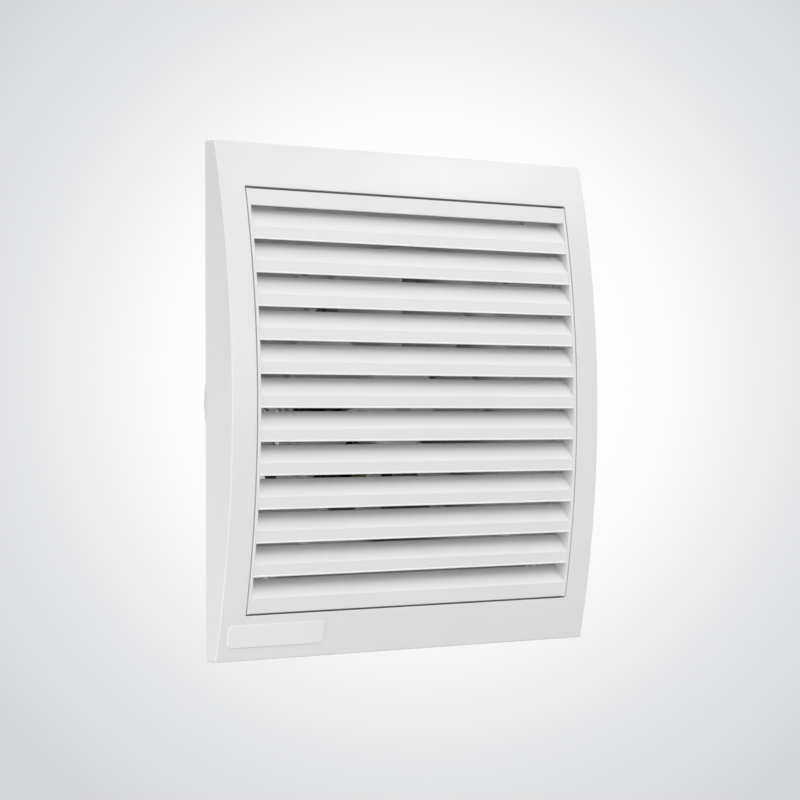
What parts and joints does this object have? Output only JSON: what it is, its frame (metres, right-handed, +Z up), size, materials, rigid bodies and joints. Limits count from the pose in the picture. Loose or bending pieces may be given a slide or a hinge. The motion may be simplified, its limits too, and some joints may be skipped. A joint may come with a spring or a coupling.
{
  "type": "kitchen exhaust fan",
  "caption": "Square wall extractor fan with a bowed louvred front, a round duct spigot behind, an axial impeller on a small motor, and a hanging back-draught flap.",
  "frame": {"origin": "on the axis of the duct spigot, in the plane of the wall that the base plate stands on", "axes": "+Y out through the wall along the duct, -Y to the room, +Z up, +X to the right seen from the room"},
  "size_m": [0.25, 0.0842, 0.25],
  "materials": {
    "white_plastic": "satin moulded",
    "label_film": "satin film",
    "housing_plastic": "satin moulded",
    "flap_plastic": "satin moulded",
    "impeller_plastic": "satin moulded",
    "zinc_steel": "zinc plated",
    "lamination_iron": "stacked sheet edges",
    "die_cast_alloy": "as cast",
    "brass": "plain",
    "copper": "plain copper bar",
    "coil_tape": "wrapped film tape",
    "bobbin_plastic": "moulded",
    "nylon": "plain",
    "terminal_plastic": "moulded",
    "black_rubber": "moulded",
    "brown_sleeve": "wire sleeve",
    "blue_sleeve": "wire sleeve"
  },
  "bodies": {
    "housing": {"front_cover": "white_plastic", "blank_label": "label_film", "cover_screw_1": "zinc_steel", "cover_screw_2": "zinc_steel", "cover_screw_3": "zinc_steel", "cover_screw_4": "zinc_steel", "duct_housing": "housing_plastic", "flap_pin": "zinc_steel", "front_bearing": "brass", "rear_bearing": "brass", "front_bearing_bracket": "die_cast_alloy", "rear_bearing_bracket": "die_cast_alloy", "stator_stack": "lamination_iron", "shading_ring_1": "copper", "shading_ring_2": "copper", "coil_bobbin": "bobbin_plastic", "coil_winding": "coil_tape", "thermal_fuse": "nylon", "motor_screw_1": "zinc_steel", "motor_screw_2": "zinc_steel", "motor_nut_1": "zinc_steel", "motor_nut_2": "zinc_steel", "terminal_block": "terminal_plastic", "terminal_screw_1": "zinc_steel", "terminal_screw_2": "zinc_steel", "terminal_screw_3": "zinc_steel", "terminal_screw_4": "zinc_steel", "terminal_block_screw": "zinc_steel", "cable_clamp": "terminal_plastic", "cable_clamp_screw_1": "zinc_steel", "cable_clamp_screw_2": "zinc_steel", "cable_grommet": "black_rubber", "live_lead": "brown_sleeve", "neutral_lead": "blue_sleeve"},
    "fan": {"impeller": "impeller_plastic", "impeller_nut": "brass", "motor_shaft": "zinc_steel", "rotor_core": "lamination_iron", "front_washer": "nylon", "rear_washer": "nylon"},
    "flap": {"backdraught_flap": "flap_plastic"},
    "grille": {"louvre_grille": "white_plastic"}
  },
  "joints": [
    {"name": "fan_spin", "type": "hinge", "parent": "housing", "child": "fan", "pos_m": [0, 0, 0], "axis": [0, 1, 0], "continuous": true},
    {"name": "flap_swing", "type": "hinge", "parent": "housing", "child": "flap", "pos_m": [0, 0.0616, 0.066], "axis": [1, 0, 0], "range_deg": [0, 35]},
    {"name": "grille_pull", "type": "slide", "parent": "housing", "child": "grille", "axis": [0, -1, 0], "range_m": [0, 0.04]}
  ]
}
